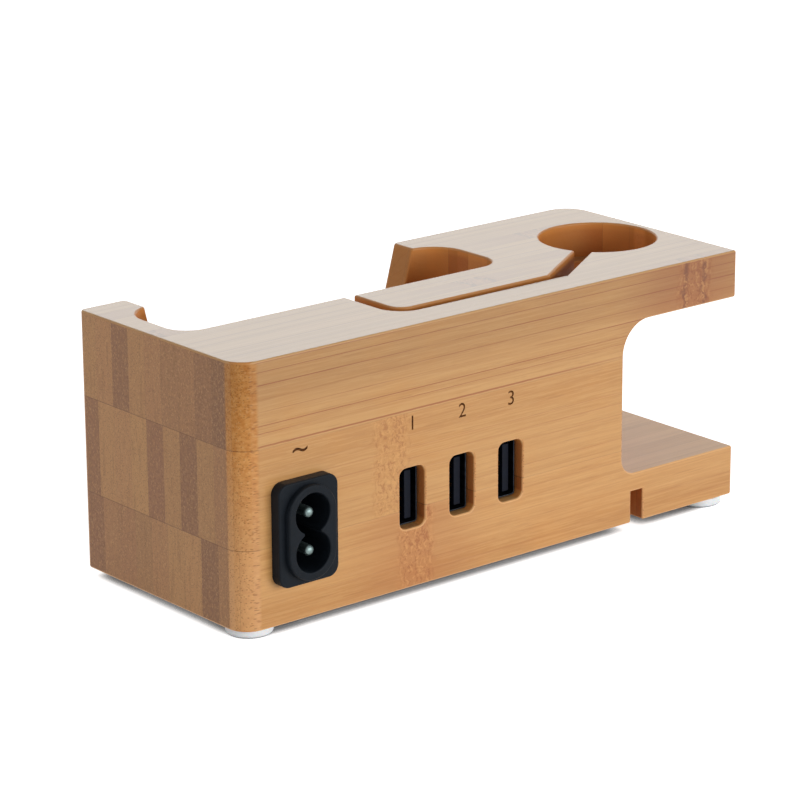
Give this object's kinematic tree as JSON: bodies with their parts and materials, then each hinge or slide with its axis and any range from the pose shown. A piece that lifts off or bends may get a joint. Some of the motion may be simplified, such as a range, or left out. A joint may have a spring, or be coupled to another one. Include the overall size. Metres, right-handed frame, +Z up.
{
  "type": "charging station organizer",
  "caption": "Bamboo stand that holds a phone in a pocket and a watch charger in an arm, with a built-in USB charger and mains inlet at the rear.",
  "frame": {"origin": "on the surface it stands on, under the middle of the whole object's box", "axes": "+X along the length towards the end with the mains inlet, +Y towards the rear face with the sockets, +Z up"},
  "size_m": [0.146, 0.0624, 0.062],
  "materials": {
    "bamboo": "oiled, fine sanded",
    "cover_plastic": "fine texture",
    "inlet_plastic": "smooth moulded",
    "socket_plastic": "smooth moulded",
    "socket_steel": "nickel plated",
    "plated_pin": "polished",
    "contact_gold": "gold flash",
    "screw_steel": "zinc plated",
    "silicone": "satin",
    "insulating_paper": "smooth",
    "wire_brown": "extruded",
    "wire_blue": "extruded",
    "board_laminate": "solder mask",
    "nylon": "natural",
    "fuse_ceramic": "matt",
    "disc_ceramic": "dipped",
    "chip_resin": "moulded epoxy",
    "capacitor_sleeve": "shrunk sleeve",
    "ferrite": "sintered",
    "coil_tape": "polyester tape",
    "choke_copper": "enamelled wire"
  },
  "bodies": {
    "root": {"upper_board": "bamboo", "middle_board": "bamboo", "lower_board": "bamboo", "bottom_cover": "cover_plastic", "cover_screws": "screw_steel", "insulating_sheet": "insulating_paper", "foot_charger_rear": "silicone", "foot_charger_front": "silicone", "foot_watch_rear": "silicone", "foot_watch_front": "silicone", "inlet_housing": "inlet_plastic", "inlet_pin_upper": "plated_pin", "inlet_pin_lower": "plated_pin", "inlet_wire_upper": "wire_brown", "inlet_wire_lower": "wire_blue", "charger_board": "board_laminate", "board_spacers": "nylon", "board_screws": "screw_steel", "board_nuts": "screw_steel", "usb_shell_1": "socket_steel", "usb_shell_2": "socket_steel", "usb_shell_3": "socket_steel", "usb_insulator_1": "socket_plastic", "usb_insulator_2": "socket_plastic", "usb_insulator_3": "socket_plastic", "usb_contacts_1": "contact_gold", "usb_contacts_2": "contact_gold", "usb_contacts_3": "contact_gold", "fuse": "fuse_ceramic", "bridge_rectifier": "chip_resin", "bulk_capacitor_1": "capacitor_sleeve", "bulk_capacitor_2": "capacitor_sleeve", "transformer_core": "ferrite", "transformer_winding": "coil_tape", "y_capacitor": "disc_ceramic", "controller_chip": "chip_resin", "output_diode": "chip_resin", "output_choke": "choke_copper", "output_capacitor_1": "capacitor_sleeve", "output_capacitor_2": "capacitor_sleeve", "output_capacitor_3": "capacitor_sleeve"}
  },
  "joints": []
}
